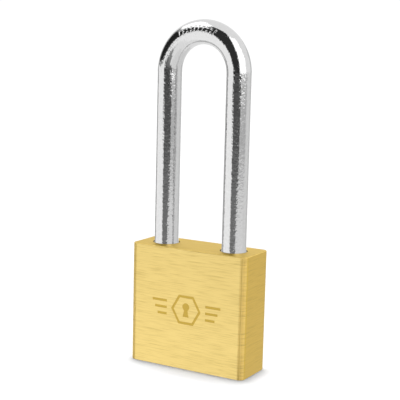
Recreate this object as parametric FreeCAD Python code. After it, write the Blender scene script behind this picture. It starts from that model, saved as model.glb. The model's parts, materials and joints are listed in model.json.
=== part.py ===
"""Long-shackle padlock with a solid brass block body and a rekeyable pin-tumbler cylinder.

Units are millimetres. The origin is the centre of the body's bottom face: +X runs along the width towards
the toe leg, +Y towards the back and +Z up. The stored pose is the shackle pushed down with the cylinder
turned to its open position, so the plug, its key pins and the cam are built as they sit when locked and
are then turned by OPEN_TURN about the plug's axis, which is the Z axis.
"""

import FreeCAD, Part

import math
import os

V = FreeCAD.Vector
X, Y, Z = V(1, 0, 0), V(0, 1, 0), V(0, 0, 1)

# ---- body block -------------------------------------------------------------------------------------
body_width = 50.8
body_height = 47.6
body_thickness = 19.0
side_edge_radius = 2.3  # on the four upright edges
edge_break = 0.35  # on the edges round the top and bottom faces

# ---- shackle ----------------------------------------------------------------------------------------
shackle_diameter = 9.5
leg_spacing = 30.4  # between the axes of the two legs
shackle_clearance = 78.0  # from the body's top face to the inside of the arch
toe_clear_of_body = 3.5  # gap over the top face when the shackle is fully up
tip_chamfer = 0.9
neck_cut = 1.1  # radial depth of the heel leg's turned neck
collar_height = 3.0  # full-diameter end of the heel leg, below the neck
leg_bore_gap = 0.2  # radial gap between a leg and its bore
mouth_chamfer = 0.25

# ---- locking balls and cam --------------------------------------------------------------------------
ball_diameter = 7.14
ball_engagement = 2.4  # how far a ball stands into its leg when locked
toe_ball_clearance = 0.2  # gap between the toe ball and its leg when open
heel_ball_hold = 0.9  # how far the heel ball still stands into the heel leg's neck when open
notch_gap = 0.2  # between a locked ball and the notch round it
ball_bore_gap = 0.1  # radial gap between a ball and its cross bore
cam_ball_gap = 0.05  # between a ball and the cam's flank
cam_pocket_gap = 0.24  # radial gap round the cam
cam_above_balls = 2.6  # from the plane of the balls to the cam's top
cam_end_gap = 0.3  # above the cam
flank_lead = math.radians(7)  # how far a flank runs on past the locked position, clear of the rim
flank_steps = 12
OPEN_TURN = 90.0

# ---- cylinder ---------------------------------------------------------------------------------------
face_recess = 0.3  # the cylinder's face stands this far inside the body's bottom face
plug_diameter = 10.0
plug_gap = 0.05  # radial running gap of the plug in its shell
plug_flange_rim = 0.7  # how far the flange stands out from the plug
plug_flange_height = 1.0
shell_wall = 1.6  # round the plug
tower_width = 7.0
tower_corner_radius = 0.8
shell_past_pins = 5.3  # from the last pin stack to the shell's rear end
shell_gap = 0.1  # between the shell and its cavity
tang_shoulder = 1.2  # step from the rim of the plug or cam, whichever is smaller, in to the tang
tang_width, tang_height = 2.6, 3.4
tang_gap = 0.1
plug_past_shell = 2.2  # the plug stands out this far behind the shell
cam_bottom_gap = 0.1  # between the plug's rear end and the cam
cavity_end_gap = 0.1  # the round cavity stops this far below the plug's rear end

# ---- keyway, in the plug's own frame with its chambers towards +X ------------------------------------
keyway_past_pins = 3.0  # how far the keyway runs on behind the last pin stack
keyway_bends = (  # each stretch of the slot: from x, to x, from y, to y
    (-plug_diameter / 2 - 0.15, -3.2, -0.3, 1.1),
    (-3.4, -1.2, -1.1, 0.5),
    (-1.4, 2.2, -0.9, 0.9),
)

# ---- pin stacks -------------------------------------------------------------------------------------
pin_drops = (0.6, 1.8, 1.2, 2.3, 0.9)  # how far each key pin falls when no key holds it up
first_pin = 4.4  # height of the first stack over the bottom face
pin_pitch = 3.8
pin_diameter = 2.85
pin_gap = 0.05  # radial gap between a pin and its chamber
chamber_floor = -0.4  # x of the ledges that a fallen key pin rests on
pin_end_chamfer = 0.35
key_pin_tip = 0.9  # height of the cone at a key pin's inner end
key_pin_rim_gap = 0.05  # from the corner of its flat outer end to the plug's rim
driver_length = 4.5
driver_gap = 0.05  # between a driver and the plug
driver_lift = 1.6
spool_waist, spool_rim = 0.45, 1.0  # depth of a spool pin's waist, length of its rims
plain_stacks = (4,)  # the stacks whose drivers are plain, counted from 0

# ---- springs ----------------------------------------------------------------------------------------
pin_spring_wire, pin_spring_pitch = 0.3, 0.66
pin_spring_gap = 0.275  # between a spring's outside and its chamber
heel_spring_wire, heel_spring_pitch = 1.0, 2.0
heel_spring_gap = 0.75  # between the spring's outside and the bore
heel_bore_floor = 3.0

# ---- cover, clip and screw --------------------------------------------------------------------------
cover_thickness = 1.0
cover_width = 3.6
cover_past_pins = 2.2  # how far the cover runs on past the first and last stacks
clip_thickness = 0.6
clip_play = 0.05  # above and below the clip in its groove
clip_groove_depth = 0.8
clip_rim = 1.0  # how far the clip stands out from the plug
clip_mouth = 5.0
screw_diameter = 3.0
screw_head_diameter = 5.2
screw_head_height = 1.9
screw_hole_gap = 0.2
screw_head_side_gap = 0.55  # between the screw's head and the side of the toe bore
screw_wall = 0.3  # between the screw's hole and the chamber cover's recess
screw_tip_wall = 0.5  # between the screw's tip and the last chamber
screw_socket, screw_socket_depth = 2.5, 1.1
screw_head_gap = 0.7  # between the screw's head and the end of the toe
web_thickness = 2.5  # brass between the toe bore and the cylinder's cavity

# ---- engraved mark on the front face ------------------------------------------------------------------
mark_depth = 0.15
mark_size = 11.5  # across the flats of the hexagon
mark_line = 1.0
keyhole_radius = 1.55
keyhole_foot, keyhole_drop = 2.6, 4.0
bar_lengths = (6.6, 5.4, 4.2)  # from the top bar to the bottom one
bar_from_hexagon = 2.0
bar_pitch = 2.6

# ---- places worked out from the sizes above -----------------------------------------------------------
shackle_radius = shackle_diameter / 2
leg_x = leg_spacing / 2
leg_inner_x = leg_x - shackle_radius
bore_radius = shackle_radius + leg_bore_gap
neck_radius = shackle_radius - neck_cut
arch_z = body_height + shackle_clearance - leg_inner_x

plug_radius = plug_diameter / 2
pin_radius = pin_diameter / 2
chamber_radius = pin_radius + pin_gap
pin_heights = [first_pin + pin_pitch * i for i in range(len(pin_drops))]
shell_top = pin_heights[-1] + shell_past_pins
plug_rear = shell_top + plug_past_shell
barrel_radius = plug_radius + plug_gap + shell_wall
tower_cavity_top = shell_top + shell_gap
toe_bore_floor = tower_cavity_top + web_thickness

screw_x = leg_x - bore_radius + screw_head_diameter / 2 + screw_head_side_gap
screw_tip = pin_heights[-1] + chamber_radius + screw_tip_wall
cover_x = screw_x + screw_diameter / 2 + screw_wall
tower_reach = cover_x + cover_thickness  # from the plug's axis to the outer face of the pin tower
driver_x = plug_radius + driver_gap
spring_x = driver_x + driver_length
cover_bottom = pin_heights[0] - cover_past_pins
cover_top = pin_heights[-1] + cover_past_pins

toe_end = toe_bore_floor + screw_head_height + screw_head_gap
toe_depth = body_height - toe_end
shackle_lift = toe_depth + toe_clear_of_body
ball_radius = ball_diameter / 2
ball_z = toe_end + toe_depth / 2
ball_locked_x = leg_inner_x + ball_engagement - ball_radius
toe_ball_open_x = leg_inner_x - toe_ball_clearance - ball_radius
heel_ball_open_x = leg_inner_x + heel_ball_hold - ball_radius
held_half_height = math.sqrt(ball_radius**2 - (ball_radius - heel_ball_hold) ** 2)
collar_top = ball_z - held_half_height - notch_gap - shackle_lift
heel_end = collar_top - collar_height

cam_radius = ball_locked_x - ball_radius - cam_ball_gap
cam_bottom = plug_rear + cam_bottom_gap
cam_top = ball_z + cam_above_balls
cam_pocket_radius = cam_radius + cam_pocket_gap
flank_bottom = ball_z - ball_radius - ball_bore_gap
tang_length = 2 * (min(plug_radius, cam_radius - tang_gap) - tang_shoulder)


# ---- small helpers --------------------------------------------------------------------------------------
def rod(radius, start, end, direction=Z, at=V(0, 0, 0)):
    """A cylinder on the line through `at`, from `start` to `end` along `direction`."""
    return Part.makeCylinder(radius, end - start, at + direction * start, direction)


def block(x0, x1, y0, y1, z0, z1):
    return Part.makeBox(x1 - x0, y1 - y0, z1 - z0, V(x0, y0, z0))


def chamfered_rod(radius, start, end, low=0.0, high=0.0, direction=Z, at=V(0, 0, 0)):
    """A cylinder whose ends taper by `low` and `high` at 45 degrees."""
    solid = rod(radius, start + low, end - high, direction, at)
    if low:
        solid = solid.fuse(Part.makeCone(radius - low, radius, low, at + direction * start, direction))
    if high:
        tip = at + direction * (end - high)
        solid = solid.fuse(Part.makeCone(radius, radius - high, high, tip, direction))
    return solid.removeSplitter()


def on_axis(x, z=0.0):
    return V(x, 0, z)


def opened(shape):
    """A piece built in its locked position, turned to the open one about the plug's axis."""
    turned = shape.copy()
    turned.rotate(V(0, 0, 0), Z, OPEN_TURN)
    return turned


def prism(points, z0, z1):
    """A polygon of (x, y) points, pulled up from z0 to z1."""
    corners = [V(x, y, z0) for x, y in points]
    face = Part.Face(Part.makePolygon(corners + corners[:1]))
    return face.extrude(V(0, 0, z1 - z0))


def coil(wire, pitch, bore, gap, length):
    """A spring standing on the XY plane in a round bore, `length` from end to end, in whole turns."""
    mean_radius = bore - gap - wire / 2
    rise = length - wire
    turns = max(1, round(rise / pitch))
    helix = Part.makeHelix(rise / turns, rise, mean_radius)
    helix.translate(V(0, 0, wire / 2))
    start = V(mean_radius, 0, wire / 2)
    profile = Part.Wire(Part.makeCircle(wire / 2, start, Y))
    return Part.Wire(helix.Edges).makePipeShell([profile], True, True)


# ---- shackle --------------------------------------------------------------------------------------------
def shackle():
    """A bent round bar: the toe leg at +X is short, and the heel leg at -X runs on to a neck and a collar."""
    toe, heel = on_axis(leg_x), on_axis(-leg_x)
    section = Part.Face(Part.Wire(Part.makeCircle(shackle_radius, V(leg_x, 0, arch_z), Z)))
    arch = section.revolve(V(0, 0, arch_z), Y, -180)
    toe_leg = chamfered_rod(shackle_radius, toe_end, arch_z, low=tip_chamfer, at=toe)
    heel_leg = chamfered_rod(shackle_radius, heel_end, arch_z, low=tip_chamfer, at=heel)
    neck_ring = rod(bore_radius, collar_top, ball_z, at=heel).cut(rod(neck_radius, collar_top, ball_z, at=heel))
    bar = toe_leg.fuse([arch, heel_leg]).removeSplitter().cut(neck_ring)
    for side in (1, -1):
        bar = bar.cut(Part.makeSphere(ball_radius + notch_gap, on_axis(side * ball_locked_x, ball_z)))
    return bar


def shackle_spring():
    length = heel_end - heel_bore_floor
    spring = coil(heel_spring_wire, heel_spring_pitch, bore_radius, heel_spring_gap, length)
    spring.translate(V(-leg_x, 0, heel_bore_floor))
    return spring


# ---- locking balls and cam --------------------------------------------------------------------------------
def flank_cutter(direction, locked_x, open_x):
    """The space a ball needs beside the turning cam, in the cam's locked frame.

    The ball's centre runs in along an Archimedean spiral, so that it moves by the same amount for each
    degree. The flank is the curve parallel to that spiral, one ball radius and a gap nearer the axis.
    """
    reach = ball_radius + cam_ball_gap
    full_turn = math.radians(OPEN_TURN)
    pitch = (locked_x - open_x) / full_turn
    flank = []
    for i in range(flank_steps + 1):
        turn = -flank_lead + (full_turn + flank_lead) * i / flank_steps
        radius, angle = locked_x - pitch * turn, direction - turn
        out, along = V(math.cos(angle), math.sin(angle), 0), V(math.sin(angle), -math.cos(angle), 0)
        tangent = along * radius - out * pitch
        normal = V(-tangent.y, tangent.x, 0).normalize()
        if normal.dot(out) < 0:
            normal = normal * -1
        flank.append(out * radius - normal * reach)
    curve = Part.BSplineCurve()
    curve.interpolate(flank)
    far = 2 * cam_radius
    rim = [V(math.cos(a), math.sin(a), 0) * far for a in (direction - full_turn, direction - full_turn / 2,
                                                          direction + flank_lead)]
    edges = [curve.toShape(), Part.makeLine(flank[-1], rim[0])]
    edges += [Part.makeLine(a, b) for a, b in zip(rim, rim[1:] + [flank[0]])]
    face = Part.Face(Part.Wire(edges))
    end = V(math.cos(direction - full_turn), math.sin(direction - full_turn), 0) * open_x
    height = cam_top - flank_bottom + 1
    swept = face.extrude(Z * height).fuse(Part.makeCylinder(reach, height, end))
    swept.translate(Z * flank_bottom)
    return swept


def locking_cam():
    """A round post with a spiral flank for each ball and a slot below for the plug's tang."""
    post = chamfered_rod(cam_radius, cam_bottom, cam_top, low=0.3, high=0.3)
    post = post.cut(flank_cutter(0, ball_locked_x, toe_ball_open_x))
    post = post.cut(flank_cutter(math.pi, ball_locked_x, heel_ball_open_x))
    half, width = tang_length / 2 + tang_gap, tang_width / 2 + tang_gap
    slot_top = plug_rear + tang_height + tang_gap
    return opened(post.cut(block(-half, half, -width, width, cam_bottom - 1, slot_top)))


def toe_ball():
    return Part.makeSphere(ball_radius, on_axis(toe_ball_open_x, ball_z))


def heel_ball():
    return Part.makeSphere(ball_radius, on_axis(-heel_ball_open_x, ball_z))


# ---- cylinder -----------------------------------------------------------------------------------------------
def cylinder_form(z0, z1, tower_z1, gap=0.0):
    """The cylinder's outline, a barrel round the plug with a pin tower towards +X, grown by `gap`."""
    half = tower_width / 2 + gap
    reach = tower_reach + gap
    tower = block(0, reach, -half, half, z0, tower_z1)
    corners = [e for e in tower.Edges if abs(e.tangentAt(e.FirstParameter).z) > 0.9 and e.CenterOfMass.x > 1]
    tower = tower.makeFillet(tower_corner_radius, corners)
    return rod(barrel_radius + gap, z0, z1).fuse(tower).removeSplitter()


def cylinder_shell():
    shell = cylinder_form(face_recess, shell_top, shell_top)
    shell = shell.cut(rod(plug_radius + plug_gap, 0, shell_top + 1))
    flange_top = face_recess + plug_flange_height + plug_gap
    shell = shell.cut(rod(plug_radius + plug_flange_rim + plug_gap, 0, flange_top))
    for height in pin_heights:
        shell = shell.cut(rod(chamber_radius, plug_radius - 1, cover_x, X, on_axis(0, height)))
    half = cover_width / 2
    shell = shell.cut(block(cover_x, tower_reach + 1, -half, half, cover_bottom, cover_top))
    return shell.cut(rod(screw_diameter / 2, screw_tip, shell_top + 1, at=on_axis(screw_x)))


def chamber_cover():
    half = cover_width / 2
    return block(cover_x, tower_reach, -half, half, cover_bottom, cover_top)


def cylinder_plug():
    """The keyed core: a flange at its face, a clip groove behind the shell and a tang at its rear end."""
    groove_bottom = shell_top + clip_play
    groove_top = groove_bottom + clip_thickness + 2 * clip_play
    plug = chamfered_rod(plug_radius, face_recess, plug_rear, high=0.3)
    flange_radius = plug_radius + plug_flange_rim
    plug = plug.fuse(rod(flange_radius, face_recess, face_recess + plug_flange_height))
    ring = rod(plug_radius + 1, groove_bottom, groove_top)
    plug = plug.cut(ring.cut(rod(plug_radius - clip_groove_depth, groove_bottom, groove_top)))
    for height in pin_heights:
        plug = plug.cut(rod(chamber_radius, chamber_floor, plug_radius + 1, X, on_axis(0, height)))
    keyway_end = pin_heights[-1] + keyway_past_pins
    for x0, x1, y0, y1 in keyway_bends:
        plug = plug.cut(block(x0, x1, y0, y1, face_recess - 1, keyway_end))
    half, width = tang_length / 2, tang_width / 2
    tang = block(-half, half, -width, width, plug_rear - 0.5, plug_rear + tang_height)
    return opened(plug.fuse(tang).removeSplitter())


def plug_clip():
    """An open spring ring in the plug's groove, which keeps the plug from sliding out of the shell."""
    z0 = shell_top + 2 * clip_play
    z1 = z0 + clip_thickness
    inner = plug_radius - clip_groove_depth + clip_play
    outer = plug_radius + clip_rim
    half = clip_mouth / 2
    ring = rod(outer, z0, z1).cut(rod(inner, z0, z1))
    return opened(ring.cut(block(-2 * outer, 0, -half, half, z0, z1)))


def key_pin(index):
    """Held at the shear line, as the right key sets it: its outer end is just under the plug's rim."""
    height, drop = pin_heights[index], pin_drops[index]
    outer = math.sqrt((plug_radius - key_pin_rim_gap) ** 2 - pin_radius**2)
    inner = chamber_floor + drop
    at = on_axis(0, height)
    tip = Part.makeCone(pin_radius - key_pin_tip, pin_radius, key_pin_tip, at + X * inner, X)
    shank = chamfered_rod(pin_radius, inner + key_pin_tip, outer, high=0.15, direction=X, at=at)
    return opened(tip.fuse(shank).removeSplitter())


def driver_pin(index):
    at = on_axis(0, pin_heights[index])
    end = driver_x + driver_length
    pin = chamfered_rod(pin_radius, driver_x, end, pin_end_chamfer / 2, pin_end_chamfer, X, at)
    if index in plain_stacks:
        return pin
    waist = rod(pin_radius + 1, driver_x + spool_rim, end - spool_rim, X, at)
    core = rod(pin_radius - spool_waist, driver_x + spool_rim, end - spool_rim, X, at)
    return pin.cut(waist.cut(core))


def pin_spring(index):
    spring = coil(pin_spring_wire, pin_spring_pitch, chamber_radius, pin_spring_gap, cover_x - spring_x)
    spring.rotate(V(0, 0, 0), Y, 90)
    spring.translate(on_axis(spring_x, pin_heights[index]))
    return spring


def retaining_screw():
    """Reached down the toe bore when the shackle is open. It ties the cylinder to the body."""
    at = on_axis(screw_x)
    head_top = toe_bore_floor + screw_head_height
    shank = chamfered_rod(screw_diameter / 2, screw_tip, toe_bore_floor, low=0.4, at=at)
    head = chamfered_rod(screw_head_diameter / 2, toe_bore_floor, head_top, high=0.3, at=at)
    corner = screw_socket / math.sqrt(3)
    sides = [math.radians(60 * i) for i in range(6)]
    hexagon = [(screw_x + corner * math.cos(a), corner * math.sin(a)) for a in sides]
    socket = prism(hexagon, head_top - screw_socket_depth, head_top + 1)
    return shank.fuse(head).removeSplitter().cut(socket)


# ---- body -----------------------------------------------------------------------------------------------------
def front_mark():
    """A plain hexagon round a keyhole, with three short bars on each side, as deep cuts in the front face."""
    flat = mark_size / 2
    corner = 2 / math.sqrt(3)

    def hexagon(half_height):
        turn = [math.radians(60 * i) for i in range(6)]
        return [(half_height * corner * math.cos(a), half_height * corner * math.sin(a)) for a in turn]

    ring = prism(hexagon(flat), 0, mark_depth).cut(prism(hexagon(flat - mark_line), 0, mark_depth))
    lift = keyhole_drop / 2 - keyhole_radius / 2
    hole = Part.makeCylinder(keyhole_radius, mark_depth, V(0, lift, 0))
    foot = [(-keyhole_foot / 2, lift - keyhole_drop), (keyhole_foot / 2, lift - keyhole_drop),
            (keyhole_radius / 3, lift), (-keyhole_radius / 3, lift)]
    pieces = [ring, hole.fuse(prism(foot, 0, mark_depth)).removeSplitter()]
    inner = flat * corner + bar_from_hexagon
    for side in (1, -1):
        for row, length in zip((1, 0, -1), bar_lengths):
            x0, x1 = sorted((side * inner, side * (inner + length)))
            z = row * bar_pitch
            pieces.append(block(x0, x1, z - mark_line / 2, z + mark_line / 2, 0, mark_depth))
    mark = Part.makeCompound(pieces)
    mark.rotate(V(0, 0, 0), X, 90)
    mark.translate(V(0, -body_thickness / 2 + mark_depth, body_height / 2))
    return mark


def leg_bore(x, floor):
    """A blind bore for one leg, with a small chamfer round its mouth."""
    at = on_axis(x)
    mouth = Part.makeCone(bore_radius, bore_radius + mouth_chamfer, mouth_chamfer,
                          at + Z * (body_height - mouth_chamfer), Z)
    return rod(bore_radius, floor, body_height + 1, at=at).fuse(mouth)


def body_block():
    half_w, half_t = body_width / 2, body_thickness / 2
    block_form = block(-half_w, half_w, -half_t, half_t, 0, body_height)
    upright = [e for e in block_form.Edges if abs(e.tangentAt(e.FirstParameter).z) > 0.9]
    block_form = block_form.makeFillet(side_edge_radius, upright)
    ends = [e for e in block_form.Edges if e.BoundBox.ZLength < 0.01]
    block_form = block_form.makeFillet(edge_break, ends)
    cavity_top = plug_rear - cavity_end_gap
    cuts = [
        leg_bore(leg_x, toe_bore_floor),
        leg_bore(-leg_x, heel_bore_floor),
        cylinder_form(-1, cavity_top, tower_cavity_top, shell_gap),
        rod(cam_pocket_radius, cavity_top - 1, cam_top + cam_end_gap),
        rod(ball_radius + ball_bore_gap, -leg_x, leg_x, X, on_axis(0, ball_z)),
        rod(screw_diameter / 2 + screw_hole_gap, tower_cavity_top - 1, toe_bore_floor + 1,
            at=on_axis(screw_x)),
        front_mark(),
    ]
    for cutter in cuts:
        block_form = block_form.cut(cutter)
    return block_form


def single_pieces():
    return {
        "body_block": body_block(),
        "shackle": shackle(),
        "shackle_spring": shackle_spring(),
        "toe_ball": toe_ball(),
        "heel_ball": heel_ball(),
        "locking_cam": locking_cam(),
        "cylinder_shell": cylinder_shell(),
        "chamber_cover": chamber_cover(),
        "cylinder_plug": cylinder_plug(),
        "plug_clip": plug_clip(),
        "retaining_screw": retaining_screw(),
    }


def pin_stack_pieces():
    made = {}
    for index in range(len(pin_heights)):
        for name, make in (("key_pin", key_pin), ("driver_pin", driver_pin), ("pin_spring", pin_spring)):
            made[f"{name}_{index + 1}"] = make(index)
    return made


def main():
    os.makedirs("parts", exist_ok=True)
    pieces = {**single_pieces(), **pin_stack_pieces()}
    for name, shape in pieces.items():
        solids = Part.makeCompound(shape.Solids)
        if not shape.isValid() or not shape.Solids:
            raise RuntimeError(f"{name} is not a valid solid")
        if len(shape.Solids) != 1:
            raise RuntimeError(f"{name} came out as {len(shape.Solids)} solids")
        solids.exportStep(f"parts/{name}.step")
    print(f"{len(pieces)} pieces")
    print(f"shackle lift {shackle_lift:.3f}, toe ball travel {ball_locked_x - toe_ball_open_x:.4f}, "
          f"heel ball travel {ball_locked_x - heel_ball_open_x:.4f}")


main()
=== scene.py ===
"""A long-shackle brass padlock, closed, on a pale floor.

Lengths are metres, written as millimetres times MM, except where a comment says millimetres. The frame is
the padlock's own: +X towards the toe leg, +Y towards the back, +Z up, the origin under the middle of the
body.
"""

import json
import math

import bpy
import numpy as np
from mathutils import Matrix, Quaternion, Vector


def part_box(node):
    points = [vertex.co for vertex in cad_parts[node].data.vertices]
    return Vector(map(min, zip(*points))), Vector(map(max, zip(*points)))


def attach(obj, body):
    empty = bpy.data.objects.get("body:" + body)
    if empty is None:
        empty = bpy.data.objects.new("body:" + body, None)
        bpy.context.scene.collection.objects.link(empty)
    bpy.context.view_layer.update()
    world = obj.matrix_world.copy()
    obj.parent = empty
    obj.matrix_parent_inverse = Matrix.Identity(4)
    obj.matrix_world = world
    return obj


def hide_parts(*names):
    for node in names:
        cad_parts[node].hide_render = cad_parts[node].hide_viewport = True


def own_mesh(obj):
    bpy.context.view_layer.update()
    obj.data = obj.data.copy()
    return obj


MM = 0.001
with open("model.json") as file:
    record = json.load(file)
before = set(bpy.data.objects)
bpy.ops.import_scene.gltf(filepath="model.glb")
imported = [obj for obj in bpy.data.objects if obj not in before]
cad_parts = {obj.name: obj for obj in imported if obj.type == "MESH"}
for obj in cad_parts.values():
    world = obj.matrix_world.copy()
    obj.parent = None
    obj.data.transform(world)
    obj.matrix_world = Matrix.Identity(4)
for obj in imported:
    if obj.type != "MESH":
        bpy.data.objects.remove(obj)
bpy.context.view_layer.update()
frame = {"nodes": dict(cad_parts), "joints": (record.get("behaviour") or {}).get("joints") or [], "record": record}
nodes = frame["nodes"]

# ---- sizes and slots read from the frame -------------------------------------------------------------
body_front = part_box("body_block")[0].y
bar_low, bar_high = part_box("shackle")
bar_radius = (bar_high.y - bar_low.y) / 2
leg_x = bar_high.x - bar_radius
arch_z = bar_high.z - bar_radius - leg_x
heel_end = bar_low.z
ball_low, ball_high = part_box("heel_ball")
ball_z = (ball_low.z + ball_high.z) / 2
ball_radius = (ball_high.z - ball_low.z) / 2
slots = {part["node"]: part["material_slot"] for part in frame["record"]["subparts"]}

# ---- camera ------------------------------------------------------------------------------------------
camera_azimuth = math.radians(29.95)
camera_elevation = math.radians(8.884)
camera_roll = math.radians(1.431)
camera_place = Vector((199.53, -346.89, 128.36)) * MM
camera_lens, camera_sensor = 93.87, 36
camera_clip = 0.01, 50


def set_camera():
    """A level look along the azimuth, tipped down by the elevation and then rolled about its own axis."""
    away = Vector((
        math.sin(camera_azimuth) * math.cos(camera_elevation),
        -math.cos(camera_azimuth) * math.cos(camera_elevation),
        math.sin(camera_elevation),
    ))
    data = bpy.data.cameras.new("camera")
    data.lens = camera_lens
    data.sensor_width = camera_sensor
    data.clip_start, data.clip_end = camera_clip
    camera = bpy.data.objects.new("camera", data)
    camera.location = camera_place
    camera.rotation_mode = "QUATERNION"
    turn = (-away).to_track_quat("-Z", "Y")
    camera.rotation_quaternion = turn @ Quaternion((0, 0, 1), camera_roll)
    bpy.context.scene.collection.objects.link(camera)
    bpy.context.scene.camera = camera


# ---- small helpers for node trees --------------------------------------------------------------------
class Tree:
    """Adds nodes to a tree and wires them, so that each pattern below reads as a formula."""

    def __init__(self, tree):
        self.tree = tree
        tree.nodes.clear()

    def add(self, kind, inputs=(), **settings):
        node = self.tree.nodes.new(kind)
        for key, value in settings.items():
            setattr(node, key, value)
        for key, value in dict(inputs).items():
            self.put(node.inputs[key], value)
        return node

    def put(self, socket, value):
        if isinstance(value, bpy.types.NodeSocket):
            self.tree.links.new(value, socket)
        else:
            socket.default_value = value

    def math(self, operation, *values):
        node = self.add("ShaderNodeMath", operation=operation)
        for socket, value in zip(node.inputs, values):
            self.put(socket, value)
        return node.outputs[0]

    def step(self, value, low, high, to_low=0.0, to_high=1.0):
        """A smooth ramp of value, from to_low at low up to to_high at high."""
        node = self.add("ShaderNodeMapRange", interpolation_type="SMOOTHSTEP")
        for socket, v in zip(node.inputs, (value, low, high, to_low, to_high)):
            self.put(socket, v)
        return node.outputs[0]

    def window(self, value, low, high, soft):
        """1 between low and high, falling to 0 over `soft` outside them."""
        return self.math("MULTIPLY", self.step(value, low - soft, low), self.step(value, high + soft, high))

    def mix(self, factor, a, b):
        node = self.add("ShaderNodeMix", data_type="RGBA")
        for socket, v in zip((node.inputs[0], node.inputs[6], node.inputs[7]), (factor, a, b)):
            self.put(socket, v)
        return node.outputs[2]

    def noise(self, vector, scale, detail=2.0, rough=0.5):
        inputs = {"Vector": vector, "Scale": scale, "Detail": detail, "Roughness": rough}
        return self.add("ShaderNodeTexNoise", inputs).outputs[0]

    def stretched(self, vector, x, y, z):
        """The coordinates in millimetres, times x, y and z."""
        scale = (x / MM, y / MM, z / MM)
        return self.add("ShaderNodeVectorMath", {0: vector, 1: scale}, operation="MULTIPLY").outputs[0]


def new_material(name):
    """An empty metal: the material, its tree, its shader and the coordinates that its patterns read."""
    material = bpy.data.materials.new(name)
    material.use_nodes = True
    tree = Tree(material.node_tree)
    shader = tree.add("ShaderNodeBsdfPrincipled", {"Metallic": 1.0})
    out = tree.add("ShaderNodeOutputMaterial")
    tree.tree.links.new(shader.outputs[0], out.inputs[0])
    place = tree.add("ShaderNodeTexCoord").outputs["Object"]
    return material, tree, shader, place


# ---- finishes ----------------------------------------------------------------------------------------
fine_streak, broad_streak = (9.0, 0.34), (13.0, 0.62)  # length and spacing in millimetres
streak_detail = 2.0
fine_dulling, broad_dulling, cloud_dulling, speck_dulling = 0.46, 0.24, 0.16, 0.12
dull_share_of_side = 0.62
# Painted highlight for the bright reflection band on the rounded corners.
painted_highlight_brass = (0.97, 0.81, 0.34, 1)
# Painted shade for the dark reflection band where each rounded corner starts.
painted_shade_brass = (0.92, 0.65, 0.17, 1)
# Painted shade for the dark gap round each leg where it enters its bore.
bore_gap_shade = (0.10, 0.065, 0.02, 1)
mark_tint = (0.80, 0.78, 0.66)  # of the side's colour, in the sunk mark
mark_from, mark_to, mark_soft = 0.1 * MM, 0.3 * MM, 0.03 * MM  # depths behind the front face
gap_shade_full, gap_shade_gone = 0.45 * MM, 0.8 * MM  # distances from the bar where the painted shade of the bore gap starts to fade and ends


def streaks(t, place, on_top, length_and_spacing):
    """Noise drawn out along the faces, and fine across: in height on upright faces, in depth on flat ones."""
    along, across = (1 / size for size in length_and_spacing)
    upright = t.noise(t.stretched(place, along, along, across), 1.0, streak_detail)
    level = t.noise(t.stretched(place, along, across, along), 1.0, streak_detail)
    on_upright = t.math("MULTIPLY", upright, t.math("SUBTRACT", 1.0, on_top))
    return t.math("ADD", on_upright, t.math("MULTIPLY", level, on_top))


def in_the_mark(t, depth, facing):
    """1 on faces that look to the front from the depth of the engraved mark."""
    sunk = t.window(depth, body_front + mark_from, body_front + mark_to, mark_soft)
    return t.math("MULTIPLY", sunk, t.step(facing, -0.9, -0.97))


def gap_shade_ring(t, width, depth, facing_up):
    """1 on upward faces in a narrow ring round each leg, the painted shade of the bore gap: the distance to the
    nearer leg's axis.
    """
    across = t.math("SUBTRACT", t.math("ABSOLUTE", width), leg_x)
    squares = t.math("ADD", t.math("MULTIPLY", across, across), t.math("MULTIPLY", depth, depth))
    ring = t.step(t.math("SQRT", squares), bar_radius + gap_shade_gone, bar_radius + gap_shade_full)
    return t.math("MULTIPLY", ring, t.step(facing_up, 0.3, 0.6))


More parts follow.
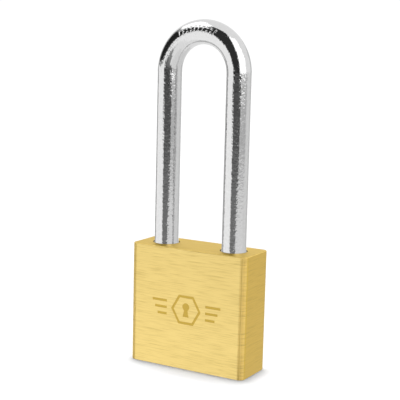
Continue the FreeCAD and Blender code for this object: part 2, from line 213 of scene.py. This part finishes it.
def brushed_brass(name, light, side, top, rough):
    """Satin brass. Fine streaks lie level on the upright faces and along the width on the flat ones.

    The sides and the top are darker copies of the broad faces' brass, as painted shade where the light falls
    less on them. The rounded corners carry a painted dark reflection band where they start and a painted
    highlight band beyond. The engraved mark is duller than all of them, and a ring of painted shade round
    each leg stands for the dark gap in the mouths of the leg bores.
    """
    material, t, shader, place = new_material(name)
    normal = t.add("ShaderNodeSeparateXYZ", {0: t.add("ShaderNodeNewGeometry").outputs["Normal"]}).outputs
    at = t.add("ShaderNodeSeparateXYZ", {0: place}).outputs
    on_top = t.step(t.math("ABSOLUTE", normal[2]), 0.6, 0.9)
    upright = t.math("SUBTRACT", 1.0, on_top)
    sideways = t.math("ABSOLUTE", normal[0])
    on_side = t.step(sideways, 0.86, 0.97)
    # The rounded corners: a painted highlight band across them, and a painted dark reflection band where they
    # start.
    corner_highlight_band = t.math("MULTIPLY", t.window(sideways, 0.05, 0.9, 0.05), upright)
    corner_shade_band = t.math("MULTIPLY", t.window(sideways, 0.07, 0.5, 0.06), upright)
    # The side and top colours are darker copies of the front's: painted shade for faces that the light reaches
    # less.
    colour = t.mix(on_side, (*light, 1), (*side, 1))
    colour = t.mix(on_top, colour, (*top, 1))
    colour = t.mix(t.math("MULTIPLY", corner_highlight_band, 0.7), colour, painted_highlight_brass)
    # Painted shade where the corners start. The same band is also made partly matte below.
    colour = t.mix(t.math("MULTIPLY", corner_shade_band, 0.55), colour, painted_shade_brass)

    fine = streaks(t, place, on_top, fine_streak)
    broad = streaks(t, place, on_top, broad_streak)
    cloud = t.noise(t.stretched(place, 0.06, 0.06, 0.09), 1.0, 3.0)
    speck = t.noise(t.stretched(place, 1, 1, 1), 1.3, 3.0, 0.7)
    dull = t.step(broad, 0.52, 0.3, 0.0, broad_dulling)
    dull = t.math("ADD", dull, t.step(fine, 0.52, 0.28, 0.0, fine_dulling))
    dull = t.math("ADD", dull, t.step(cloud, 0.45, 0.8, 0.0, cloud_dulling))
    dull = t.math("ADD", dull, t.step(speck, 0.56, 0.76, 0.0, speck_dulling))
    shade = t.mix(0.5, colour, (*[c * dull_share_of_side for c in side], 1))
    colour = t.mix(dull, colour, shade)
    etched = (*[c * k for c, k in zip(side, mark_tint)], 1)
    colour = t.mix(t.math("MULTIPLY", in_the_mark(t, at[1], normal[1]), 0.9), colour, etched)
    # Painted shade of the bore gap, in a ring round each leg's mouth.
    colour = t.mix(t.math("MULTIPLY", gap_shade_ring(t, at[0], at[1], normal[2]), 0.85), colour, bore_gap_shade)
    t.put(shader.inputs["Base Color"], colour)

    t.put(shader.inputs["Metallic"], t.math("SUBTRACT", 1.0, t.math("MULTIPLY", corner_shade_band, 0.7)))
    gloss = t.step(fine, 0.2, 0.8, rough + 0.05, rough - 0.05)
    gloss = t.math("ADD", gloss, t.math("MULTIPLY", corner_highlight_band, 0.5))
    t.put(shader.inputs["Roughness"], t.math("ADD", gloss, t.math("MULTIPLY", on_top, 0.16)))
    grooves = t.math("ADD", fine, t.math("MULTIPLY", broad, 0.8))
    bump = t.add("ShaderNodeBump", {"Strength": 0.3, "Distance": 0.012 * MM, "Height": grooves})
    t.put(shader.inputs["Normal"], bump.outputs[0])
    return material


def plated_steel(name):
    """Bright plating over a drawn bar: a fine grain, a few pits and a slow waviness along the bar."""
    material, t, shader, place = new_material(name)
    grain = t.noise(t.stretched(place, 1, 1, 0.8), 1.15, 1.5, 0.6)
    drawn = t.noise(t.stretched(place, 2.2, 2.2, 0.25), 1.0, 2.0, 0.6)
    wave = t.noise(t.stretched(place, 0.3, 0.3, 0.1), 1.0, 1.0)
    pits = t.add("ShaderNodeTexVoronoi", {"Vector": t.stretched(place, 1, 1, 1), "Scale": 1.4}).outputs[0]
    t.put(shader.inputs["Base Color"], t.mix(grain, (0.64, 0.64, 0.64, 1), (0.76, 0.76, 0.76, 1)))
    t.put(shader.inputs["Roughness"], t.step(grain, 0.3, 0.7, 0.04, 0.09))
    height = t.math("ADD", t.math("MULTIPLY", grain, 0.9), t.math("MULTIPLY", drawn, 0.25))
    height = t.math("ADD", height, t.math("MULTIPLY", wave, 1.2))
    height = t.math("ADD", height, t.step(pits, 0.02, 0.14, 0.0, 0.3))
    bump = t.add("ShaderNodeBump", {"Strength": 1.0, "Distance": 0.05 * MM, "Height": height})
    t.put(shader.inputs["Normal"], bump.outputs[0])
    return material


def turned_metal(name, colour, rough, spacing=0.12):
    """A machined small part: fine rings, spaced in millimetres, and a slight mottling of its colour."""
    material, t, shader, place = new_material(name)
    rings = t.noise(t.stretched(place, 0.3, 0.3, 1 / spacing), 1.0, 2.0)
    mottle = t.noise(t.stretched(place, 1, 1, 1), 0.7, 3.0)
    darker = tuple(c * 0.8 for c in colour)
    t.put(shader.inputs["Base Color"], t.mix(t.step(mottle, 0.3, 0.7), (*darker, 1), (*colour, 1)))
    t.put(shader.inputs["Roughness"], t.step(rings, 0.25, 0.75, rough - 0.05, rough + 0.06))
    bump = t.add("ShaderNodeBump", {"Strength": 0.2, "Distance": 0.01 * MM, "Height": rings})
    t.put(shader.inputs["Normal"], bump.outputs[0])
    return material


# ---- meshes ------------------------------------------------------------------------------------------
sharp_angle = math.radians(32)


def finish_mesh(name, vertices, faces, material, body, slot, node):
    """A piece from arrays, smooth except where two faces meet at more than the sharp angle."""
    mesh = bpy.data.meshes.new(name)
    mesh.from_pydata(vertices.tolist(), [], faces)
    mesh.validate()
    mesh.polygons.foreach_set("use_smooth", np.ones(len(mesh.polygons), bool))
    mesh.set_sharp_from_angle(angle=sharp_angle)
    mesh.materials.append(material)
    piece = bpy.data.objects.new(name, mesh)
    bpy.context.scene.collection.objects.link(piece)
    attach(piece, body)
    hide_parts(node)
    return piece


def closed_tube(centre, points):
    """A tube through rings of points, one ring for each point of its centre line, with a fan at each end."""
    rows, columns = points.shape[:2]
    grid = np.arange(rows * columns).reshape(rows, columns)
    around = np.roll(grid, -1, axis=1)
    faces = np.stack([grid[:-1], around[:-1], around[1:], grid[1:]], -1).reshape(-1, 4).tolist()
    first, last = rows * columns, rows * columns + 1
    faces += np.stack([np.full(columns, first), around[0], grid[0]], 1).tolist()
    faces += np.stack([np.full(columns, last), grid[-1], around[-1]], 1).tolist()
    return np.concatenate([points.reshape(-1, 3), centre[[0, -1]]]), faces


# ---- shackle -----------------------------------------------------------------------------------------
neck_cut = 1.1 * MM
collar_height = 3.0 * MM
tip_chamfer = 0.9 * MM
toe_end = 30.1 * MM
ball_engagement = 2.4 * MM  # how far a locked ball stands into its leg
ball_locked_x = leg_x - bar_radius + ball_engagement - ball_radius
notch_gap = 0.2 * MM
notch_radius = ball_radius + notch_gap
shaped_reach = 5 * MM  # how far above the balls' plane the close stations of each leg go
chamfer_steps = np.array([0, 0.3, 0.6])  # shares of the chamfer, from the tip
punch_marks, punch_depth = 10, 0.3 * MM
marks_middle, marks_pitch = math.radians(87), math.radians(6.1)  # along the bend
marks_angle = math.radians(74)  # round the bar, from the outside of the bend towards the front
marked_from, marked_to = 0.3, 0.67  # shares of the bend that hold all the marks
marked_low, marked_high = 0.98, 1.62  # angles round the bar that hold them, in radians


def bar_path():
    """Stations along the bent bar, closer together where it is shaped: arc length, centre and direction.

    The heel leg goes up, the arch is a half circle of radius leg_x and the toe leg comes down.
    """
    heel_length = arch_z - heel_end
    arch_length = math.pi * leg_x
    toe_length = arch_z - toe_end
    heel = np.concatenate([
        chamfer_steps * tip_chamfer,
        np.linspace(tip_chamfer, ball_z + shaped_reach - heel_end, 150),
        np.linspace(ball_z + shaped_reach + 1 * MM - heel_end, heel_length, 40),
    ])
    bend = heel_length + np.concatenate([
        np.linspace(0, marked_from, 36, endpoint=False),
        np.linspace(marked_from, marked_to, 190, endpoint=False),
        np.linspace(marked_to, 1.0, 40),
    ]) * arch_length
    bend_end = heel_length + arch_length
    toe = bend_end + np.concatenate([
        np.linspace(0, arch_z - ball_z - shaped_reach, 40),
        np.linspace(arch_z - ball_z - shaped_reach + 0.2 * MM, toe_length - tip_chamfer, 70),
        toe_length - chamfer_steps[::-1] * tip_chamfer,
    ])
    s = np.unique(np.concatenate([heel, bend, toe]))
    turn = np.clip((s - heel_length) / leg_x, 0, math.pi)
    up = np.minimum(s, heel_length) + heel_end - arch_z
    down = np.maximum(s - bend_end, 0)
    centre = np.stack([-leg_x * np.cos(turn), 0 * s, arch_z + up - down + leg_x * np.sin(turn)], 1)
    direction = np.stack([np.sin(turn), 0 * s, np.cos(turn)], 1)
    return s, centre, direction, turn


def punched(turn, round_angle):
    """Depth of the row of punch marks on the crown: strokes, pairs of dots and crosses, in a fixed order.

    A stroke is a groove with a rounded bottom, a dot is a round pit, and a cross is a short stroke over a
    bar. Each shape is the distance from its middle line or point over its half width, with x along the
    bend and y across the bar, in millimetres. The depth is punch_depth times 1.35 (1 - shape squared),
    kept between 0 and punch_depth.
    """
    place = (turn - marks_middle) / marks_pitch + (punch_marks - 1) / 2
    number = np.clip(np.round(place), 0, punch_marks - 1)
    kind = number.astype(int) * 2 % 5 % 3
    x = (place - number) * marks_pitch * leg_x / MM
    y = (round_angle - marks_angle) * bar_radius / MM
    lean = x + 0.16 * y
    stroke = np.hypot(lean, np.maximum(np.abs(y) - 0.85, 0)) / 0.34
    short = np.hypot(lean, np.maximum(np.abs(y - 0.45) - 0.35, 0)) / 0.34
    dots = np.hypot(x, np.minimum(np.abs(y - 0.75), np.abs(y + 0.6))) / 0.42
    cross = np.hypot(y + 0.7, np.maximum(np.abs(x) - 0.25, 0)) / 0.32
    shape = np.choose(kind, [stroke, dots, np.minimum(short, cross)])
    return punch_depth * np.clip(1.35 * (1 - shape**2), 0, 1)


def shackle_bar():
    """A tube: at each station a circle of radius r(s) about the path, less the neck, notches and marks.

    The ring's angle runs from the outside of the bend through the front. Where a station lies within a
    notch, the surface is pushed out of the ball's sphere along the ring's own radius.
    """
    s, centre, direction, turn = bar_path()
    marked = np.linspace(marked_low, marked_high, 50, endpoint=False)
    plain = np.linspace(marked_high, 2 * math.pi + marked_low, 80, endpoint=False)
    ring = np.concatenate([marked, plain])
    outward = np.stack([-direction[:, 2], 0 * s, direction[:, 0]], 1)
    sides = np.array([0.0, -1.0, 0.0])
    radial = outward[:, None, :] * np.cos(ring)[None, :, None] + sides * np.sin(ring)[None, :, None]
    radius = np.full((len(s), len(ring)), bar_radius)
    for end in (s - s[0], s[-1] - s):
        radius -= np.clip(tip_chamfer - end, 0, None)[:, None]
    height = centre[:, 2]
    on_heel = centre[:, 0] < 0
    collar_top = heel_end + collar_height
    in_neck = on_heel & (height > collar_top) & (height < ball_z)
    radius[in_neck] = np.minimum(radius[in_neck], bar_radius - neck_cut)
    radius -= punched(turn[:, None], ring[None, :])
    for side in (-1, 1):
        ball = np.array([side * ball_locked_x, 0, ball_z])
        near = (np.sign(centre[:, 0]) == side) & (np.abs(height - ball_z) < notch_radius)
        to_ball = ball - centre[near]
        along = np.einsum("ijk,ik->ij", radial[near], to_ball)
        apart = np.sum(to_ball**2, 1)[:, None] - along**2
        inside = np.sqrt(np.clip(notch_radius**2 - apart, 0, None))
        hit = (apart < notch_radius**2) & (along - inside < radius[near])
        radius[near] = np.where(hit, np.maximum(along - inside, 0.3 * bar_radius), radius[near])
    return closed_tube(centre, centre[:, None, :] + radial * radius[:, :, None])


# ---- pin springs -------------------------------------------------------------------------------------
pin_spring_wire, pin_spring_pitch = 0.3 * MM, 0.66 * MM
stations_per_turn, sides_of_wire = 26, 12


def pin_coil(node):
    """A round wire wound about a line along X, between the ends of the spring's own box.

    With t in turns, the wire's centre is (x(t), R cos 2 pi t, R sin 2 pi t). Its advance x(t) is one wire
    per turn in the first and last turns, which lie closed, and even between them. A small circle is
    carried square to that line.
    """
    low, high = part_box(node)
    wire = pin_spring_wire
    rise = high.x - low.x - wire
    turns = max(3, round(rise / pin_spring_pitch))
    turn = np.linspace(0, turns, turns * stations_per_turn + 1)
    along = low.x + wire / 2 + np.interp(turn, [0, 1, turns - 1, turns], [0, wire, rise - wire, rise])
    outward = np.stack([0 * turn, np.cos(2 * math.pi * turn), np.sin(2 * math.pi * turn)], 1)
    axis = np.array([0, (low.y + high.y) / 2, (low.z + high.z) / 2])
    centre = axis + outward * ((high.z - low.z) / 2 - wire / 2)
    centre[:, 0] = along
    direction = np.gradient(centre, axis=0)
    direction /= np.linalg.norm(direction, axis=1)[:, None]
    beside = np.cross(direction, outward)
    ring = np.linspace(0, 2 * math.pi, sides_of_wire, endpoint=False)[None, :, None]
    radial = outward[:, None, :] * np.cos(ring) + beside[:, None, :] * np.sin(ring)
    return closed_tube(centre, centre[:, None, :] + radial * wire / 2)


def pin_springs():
    """The five coils, each wound to its spring's box; in the lock each shortens towards the chamber cover as its
    driver pin is pushed back.
    """
    for joint in frame["joints"]:
        for spring in joint.get("deforming_nodes", []):
            node = spring["node"]
            if not node.startswith("pin_spring"):
                continue
            shape = pin_coil(node)
            piece = finish_mesh(node + "_coil", *shape, finishes[slots[node]], "body", slots[node], node)
            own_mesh(piece)


# ---- floor and light ---------------------------------------------------------------------------------
floor_half = 3.0
floor_greys = (0.90, 0.90, 0.90, 1), (0.93, 0.93, 0.93, 1)
plain_wall, light_on_matte, open_background = 0.98, 0.22, 1.05
studio_patches = (  # brightness, azimuth, height, and how soft the edges are across and up, in degrees
    (1.12, (-125, -48), (-60, 2), 8, 4),  # the left wall, which the broad front face mirrors
    (0.50, (-176, -132), (-11, -1), 7, 3),  # the far wall, low on the left
    (0.88, (8, 80), (-60, -8), 8, 2),  # the right wall, which the legs mirror
    (0.55, (8, 78), (-7, -2), 8, 1.5),
    (0.82, (84, 150), (-60, -2), 8, 4),  # the wall that the side face mirrors
    (0.66, (126, 152), (-12, 18), 6, 4),
    (1.70, (10, 60), (0, 60), 4, 2),  # the soft lamp on the right
    (1.70, (-132, -64), (38, 66), 6, 3),  # the soft lamp high on the left
    (0.30, (-140, -72), (2.5, 33), 4, 2),  # dark screens: the bands round the arch, a deeper front face
    (0.02, (-126, -78), (5, 30), 6, 2),
    (0.03, (-80, -50), (8, 33), 4, 3),
    (0.035, (-55, -1), (-2, 63), 5, 4),
    (0.10, (-44, 17), (-8, -1.5), 4, 1.5),  # low dark screens: the bands along the legs, a deeper top
    (0.20, (-41, 5), (-12, -7), 4, 1.5),
    (0.28, (-36, -8), (-22, -13), 4, 2),
)
light_lean, light_side = math.radians(3.2), math.radians(38)
light_energy, light_width = 3.05, math.radians(11)


def grey(value):
    return (value, value, value, 1)


def pale_floor():
    """A wide level sheet under the padlock, matte and nearly white with a very faint mottle.

    It is clear from underneath, so that the padlock's bottom face can be looked at.
    """
    mesh = bpy.data.meshes.new("floor")
    corners = [(x * floor_half, y * floor_half, 0) for x, y in ((-1, -1), (1, -1), (1, 1), (-1, 1))]
    mesh.from_pydata(corners, [], [(0, 1, 2, 3)])
    material, t, shader, place = new_material("pale_floor")
    shader.inputs["Metallic"].default_value = 0.0
    shader.inputs["Roughness"].default_value = 0.9
    shader.inputs["Specular IOR Level"].default_value = 0.0
    mottle = t.noise(t.stretched(place, 0.02, 0.02, 0.02), 1.0, 3.0)
    t.put(shader.inputs["Base Color"], t.mix(mottle, *floor_greys))
    clear = t.add("ShaderNodeBsdfTransparent")
    under = t.add("ShaderNodeNewGeometry").outputs["Backfacing"]
    shown = t.add("ShaderNodeMixShader", {0: under, 1: shader.outputs[0], 2: clear.outputs[0]})
    t.tree.links.new(shown.outputs[0], t.tree.nodes["Material Output"].inputs[0])
    mesh.materials.append(material)
    floor = bpy.data.objects.new("floor", mesh)
    floor.visible_glossy = False
    bpy.context.scene.collection.objects.link(floor)


def soft_surroundings():
    """A studio as bright and dark patches, each a range of azimuths from the camera's side and of heights.

    Each patch is laid over the ones before it, and its edges are soft. Mirrors see the patches, matte
    surfaces are lit evenly, and the open background is plain.
    """
    world = bpy.data.worlds.new("studio")
    bpy.context.scene.world = world
    world.use_nodes = True
    t = Tree(world.node_tree)
    way = t.add("ShaderNodeSeparateXYZ", {0: t.add("ShaderNodeTexCoord").outputs["Generated"]})
    azimuth = t.math("ARCTAN2", way.outputs[0], t.math("MULTIPLY", way.outputs[1], -1.0))
    azimuth = t.math("MULTIPLY", t.math("SUBTRACT", azimuth, camera_azimuth), 180 / math.pi)
    azimuth = t.math("WRAP", azimuth, 180.0, -180.0)
    height = t.math("MULTIPLY", t.math("ARCSINE", way.outputs[2]), 180 / math.pi)
    light = grey(plain_wall)
    for value, across, up, soft_across, soft_up in studio_patches:
        shape = t.math("MULTIPLY", t.window(azimuth, *across, soft_across), t.window(height, *up, soft_up))
        light = t.mix(shape, light, grey(value))
    paths = t.add("ShaderNodeLightPath")
    light = t.mix(paths.outputs["Is Diffuse Ray"], light, grey(light_on_matte))
    light = t.mix(paths.outputs["Is Camera Ray"], light, grey(open_background))
    background = t.add("ShaderNodeBackground", {"Color": light, "Strength": 1.0})
    out = t.add("ShaderNodeOutputWorld")
    t.tree.links.new(background.outputs[0], out.inputs[0])


def overhead_light():
    """One broad soft source nearly straight above, so that the shadow stays close to the padlock.

    It leans a little to the back and left, which lays the shadow along the front and right edges.
    """
    off_axis = math.sin(light_lean)
    place = Vector((-off_axis * math.sin(light_side), off_axis * math.cos(light_side), math.cos(light_lean)))
    data = bpy.data.lights.new("overhead_light", "SUN")
    data.energy = light_energy
    data.angle = light_width
    light = bpy.data.objects.new("overhead_light", data)
    light.location = place
    light.rotation_mode = "QUATERNION"
    light.rotation_quaternion = place.to_track_quat("Z", "Y")
    light.visible_glossy = False
    bpy.context.scene.collection.objects.link(light)


# ---- putting it together -----------------------------------------------------------------------------
set_camera()
pale_floor()
soft_surroundings()
overhead_light()
bpy.context.scene.view_settings.view_transform = "Standard"

# The colours are the front's, then the sides' and the top's, which are darker as painted shade.
brass = brushed_brass("brushed_brass", (0.99, 0.755, 0.275), (0.79, 0.54, 0.105), (0.81, 0.575, 0.112), 0.36)
chrome = plated_steel("plated_steel")
finishes = {
    "body_brass": brass,
    "shackle_chrome": chrome,
    "cylinder_brass": turned_metal("machined_brass", (0.83, 0.63, 0.27), 0.3),
    "plug_brass": turned_metal("plug_brass", (0.85, 0.66, 0.32), 0.26),
    "pin_brass": turned_metal("pin_brass", (0.84, 0.61, 0.24), 0.25),
    "driver_nickel_silver": turned_metal("nickel_silver", (0.72, 0.69, 0.62), 0.25),
    "ball_steel": turned_metal("ball_steel", (0.72, 0.73, 0.75), 0.12),
    "cam_steel": turned_metal("sintered_steel", (0.42, 0.42, 0.43), 0.5, 0.3),
    "spring_steel": turned_metal("spring_wire", (0.55, 0.55, 0.57), 0.28),
    "screw_steel": turned_metal("black_oxide", (0.10, 0.10, 0.11), 0.4),
}
for node, piece in nodes.items():
    piece.data.materials.clear()
    piece.data.materials.append(finishes[slots[node]])

# The plating doesn't mirror the brass, and the contact shadow takes no colour from it.
nodes["body_block"].visible_glossy = False
nodes["body_block"].visible_diffuse = False
finish_mesh("shackle_bar", *shackle_bar(), chrome, "shackle", "shackle_chrome", "shackle")
pin_springs()
